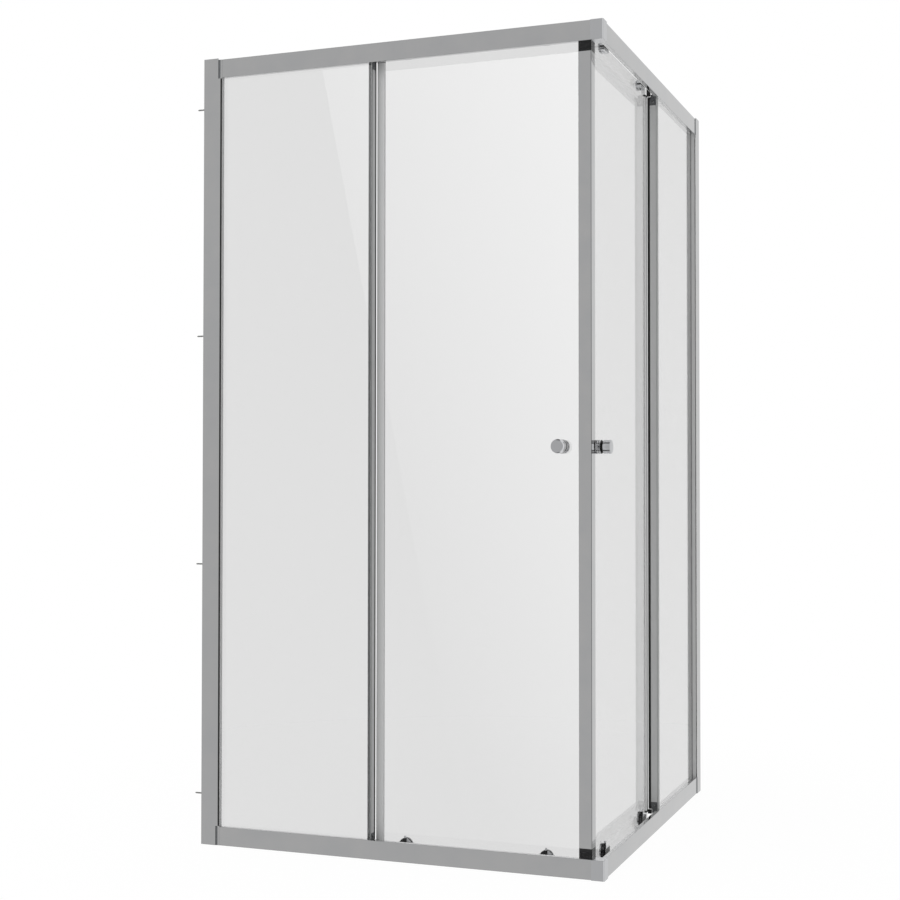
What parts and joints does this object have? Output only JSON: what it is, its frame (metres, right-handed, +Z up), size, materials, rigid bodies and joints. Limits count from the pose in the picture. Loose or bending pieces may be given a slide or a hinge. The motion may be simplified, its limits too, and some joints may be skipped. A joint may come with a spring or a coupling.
{
  "type": "corner shower enclosure",
  "caption": "Square corner-entry shower enclosure with framed clear glass, fixed panels and sliding doors that meet at the free corner.",
  "frame": {"origin": "middle of the overall box at the underside of the bottom rails, where the tray's rim is", "axes": "+X along the front rails from their wall to the free corner, +Y along the side rails from the free corner to their wall, +Z up"},
  "size_m": [1.028, 1.028, 1.891],
  "materials": {
    "polished_aluminium": "polished and bright anodised",
    "chrome": "polished chrome plate",
    "chrome_plastic": "chrome-plated plastic",
    "black_plastic": "glossy black moulded plastic",
    "clear_glass": "clear toughened glass",
    "steel": "stainless steel",
    "spring_steel": "spring wire",
    "black_rubber": "matt black rubber",
    "grey_rubber": "soft grey glazing rubber",
    "magnet_strip": "black flexible magnet strip",
    "white_nylon": "smooth white nylon",
    "grey_plastic": "moulded grey plastic"
  },
  "bodies": {
    "frame": {"front_wall_profile": "polished_aluminium", "front_jamb": "polished_aluminium", "front_bottom_rail": "polished_aluminium", "front_top_rail": "polished_aluminium", "front_edge_profile": "polished_aluminium", "front_fixed_glass": "clear_glass", "side_wall_profile": "polished_aluminium", "side_jamb": "polished_aluminium", "side_bottom_rail": "polished_aluminium", "side_top_rail": "polished_aluminium", "side_edge_profile": "polished_aluminium", "side_fixed_glass": "clear_glass", "wall_screws": "steel", "jamb_screws": "steel", "rail_screws": "steel", "edge_cap_screws": "steel", "bottom_corner_joint": "chrome_plastic", "top_corner_joint": "chrome_plastic", "rail_stops": "black_rubber", "glazing_gaskets": "grey_rubber", "edge_caps": "grey_plastic", "edge_seals": "black_rubber"},
    "front_door": {"front_door_glass": "clear_glass", "front_lead_profile": "polished_aluminium", "front_lead_magnet": "magnet_strip", "front_trail_profile": "polished_aluminium", "front_outer_knob": "chrome", "front_inner_knob": "chrome", "front_glass_screws": "steel", "front_top_housings": "chrome_plastic", "front_bottom_housings": "black_plastic", "front_roller_caps": "chrome_plastic", "front_top_axles": "steel", "front_return_spring_trail": "spring_steel", "front_return_spring_lead": "spring_steel"},
    "front_top_wheel_trail": {"front_top_wheel_trail": "white_nylon"},
    "front_bottom_wheel_trail": {"front_bottom_wheel_trail": "white_nylon"},
    "front_release_button_trail": {"front_release_button_trail": "chrome_plastic"},
    "front_top_wheel_lead": {"front_top_wheel_lead": "white_nylon"},
    "front_bottom_wheel_lead": {"front_bottom_wheel_lead": "white_nylon"},
    "front_release_button_lead": {"front_release_button_lead": "chrome_plastic"},
    "side_door": {"side_door_glass": "clear_glass", "side_lead_profile": "polished_aluminium", "side_lead_magnet": "magnet_strip", "side_trail_profile": "polished_aluminium", "side_outer_knob": "chrome", "side_inner_knob": "chrome", "side_glass_screws": "steel", "side_top_housings": "chrome_plastic", "side_bottom_housings": "black_plastic", "side_roller_caps": "chrome_plastic", "side_top_axles": "steel", "side_return_spring_trail": "spring_steel", "side_return_spring_lead": "spring_steel"},
    "side_top_wheel_trail": {"side_top_wheel_trail": "white_nylon"},
    "side_bottom_wheel_trail": {"side_bottom_wheel_trail": "white_nylon"},
    "side_release_button_trail": {"side_release_button_trail": "chrome_plastic"},
    "side_top_wheel_lead": {"side_top_wheel_lead": "white_nylon"},
    "side_bottom_wheel_lead": {"side_bottom_wheel_lead": "white_nylon"},
    "side_release_button_lead": {"side_release_button_lead": "chrome_plastic"}
  },
  "joints": [
    {"name": "front_door_slide", "type": "slide", "parent": "frame", "child": "front_door", "axis": [-1, 0, 0], "range_m": [0, 0.4]},
    {"name": "front_release_button_trail_press", "type": "slide", "parent": "front_door", "child": "front_release_button_trail", "axis": [0, 0, -1], "range_m": [0, 0.0028], "stiffness_N_per_m": 1500, "springref_m": -0.003, "deforming": ["front_return_spring_trail"]},
    {"name": "front_top_wheel_trail_spin", "type": "hinge", "parent": "front_door", "child": "front_top_wheel_trail", "pos_m": [0.027, -0.486, 1.8738], "axis": [0, 1, 0], "continuous": true},
    {"name": "front_bottom_wheel_trail_spin", "type": "hinge", "parent": "front_release_button_trail", "child": "front_bottom_wheel_trail", "pos_m": [0.027, -0.486, 0.0142], "axis": [0, 1, 0], "continuous": true},
    {"name": "front_release_button_lead_press", "type": "slide", "parent": "front_door", "child": "front_release_button_lead", "axis": [0, 0, -1], "range_m": [0, 0.0028], "stiffness_N_per_m": 1500, "springref_m": -0.003, "deforming": ["front_return_spring_lead"]},
    {"name": "front_top_wheel_lead_spin", "type": "hinge", "parent": "front_door", "child": "front_top_wheel_lead", "pos_m": [0.368, -0.486, 1.8738], "axis": [0, 1, 0], "continuous": true},
    {"name": "front_bottom_wheel_lead_spin", "type": "hinge", "parent": "front_release_button_lead", "child": "front_bottom_wheel_lead", "pos_m": [0.368, -0.486, 0.0142], "axis": [0, 1, 0], "continuous": true},
    {"name": "side_door_slide", "type": "slide", "parent": "frame", "child": "side_door", "axis": [0, 1, 0], "range_m": [0, 0.4]},
    {"name": "side_release_button_trail_press", "type": "slide", "parent": "side_door", "child": "side_release_button_trail", "axis": [0, 0, -1], "range_m": [0, 0.0028], "stiffness_N_per_m": 1500, "springref_m": -0.003, "deforming": ["side_return_spring_trail"]},
    {"name": "side_top_wheel_trail_spin", "type": "hinge", "parent": "side_door", "child": "side_top_wheel_trail", "pos_m": [0.486, -0.027, 1.8738], "axis": [1, 0, 0], "continuous": true},
    {"name": "side_bottom_wheel_trail_spin", "type": "hinge", "parent": "side_release_button_trail", "child": "side_bottom_wheel_trail", "pos_m": [0.486, -0.027, 0.0142], "axis": [1, 0, 0], "continuous": true},
    {"name": "side_release_button_lead_press", "type": "slide", "parent": "side_door", "child": "side_release_button_lead", "axis": [0, 0, -1], "range_m": [0, 0.0028], "stiffness_N_per_m": 1500, "springref_m": -0.003, "deforming": ["side_return_spring_lead"]},
    {"name": "side_top_wheel_lead_spin", "type": "hinge", "parent": "side_door", "child": "side_top_wheel_lead", "pos_m": [0.486, -0.368, 1.8738], "axis": [1, 0, 0], "continuous": true},
    {"name": "side_bottom_wheel_lead_spin", "type": "hinge", "parent": "side_release_button_lead", "child": "side_bottom_wheel_lead", "pos_m": [0.486, -0.368, 0.0142], "axis": [1, 0, 0], "continuous": true}
  ],
  "couplings": [
    {"joint": "front_top_wheel_trail_spin", "follows": "front_door_slide", "rad_per_m": -138.89},
    {"joint": "front_bottom_wheel_trail_spin", "follows": "front_door_slide", "rad_per_m": 138.89},
    {"joint": "front_top_wheel_lead_spin", "follows": "front_door_slide", "rad_per_m": -138.89},
    {"joint": "front_bottom_wheel_lead_spin", "follows": "front_door_slide", "rad_per_m": 138.89},
    {"joint": "side_top_wheel_trail_spin", "follows": "side_door_slide", "rad_per_m": -138.89},
    {"joint": "side_bottom_wheel_trail_spin", "follows": "side_door_slide", "rad_per_m": 138.89},
    {"joint": "side_top_wheel_lead_spin", "follows": "side_door_slide", "rad_per_m": -138.89},
    {"joint": "side_bottom_wheel_lead_spin", "follows": "side_door_slide", "rad_per_m": 138.89}
  ]
}
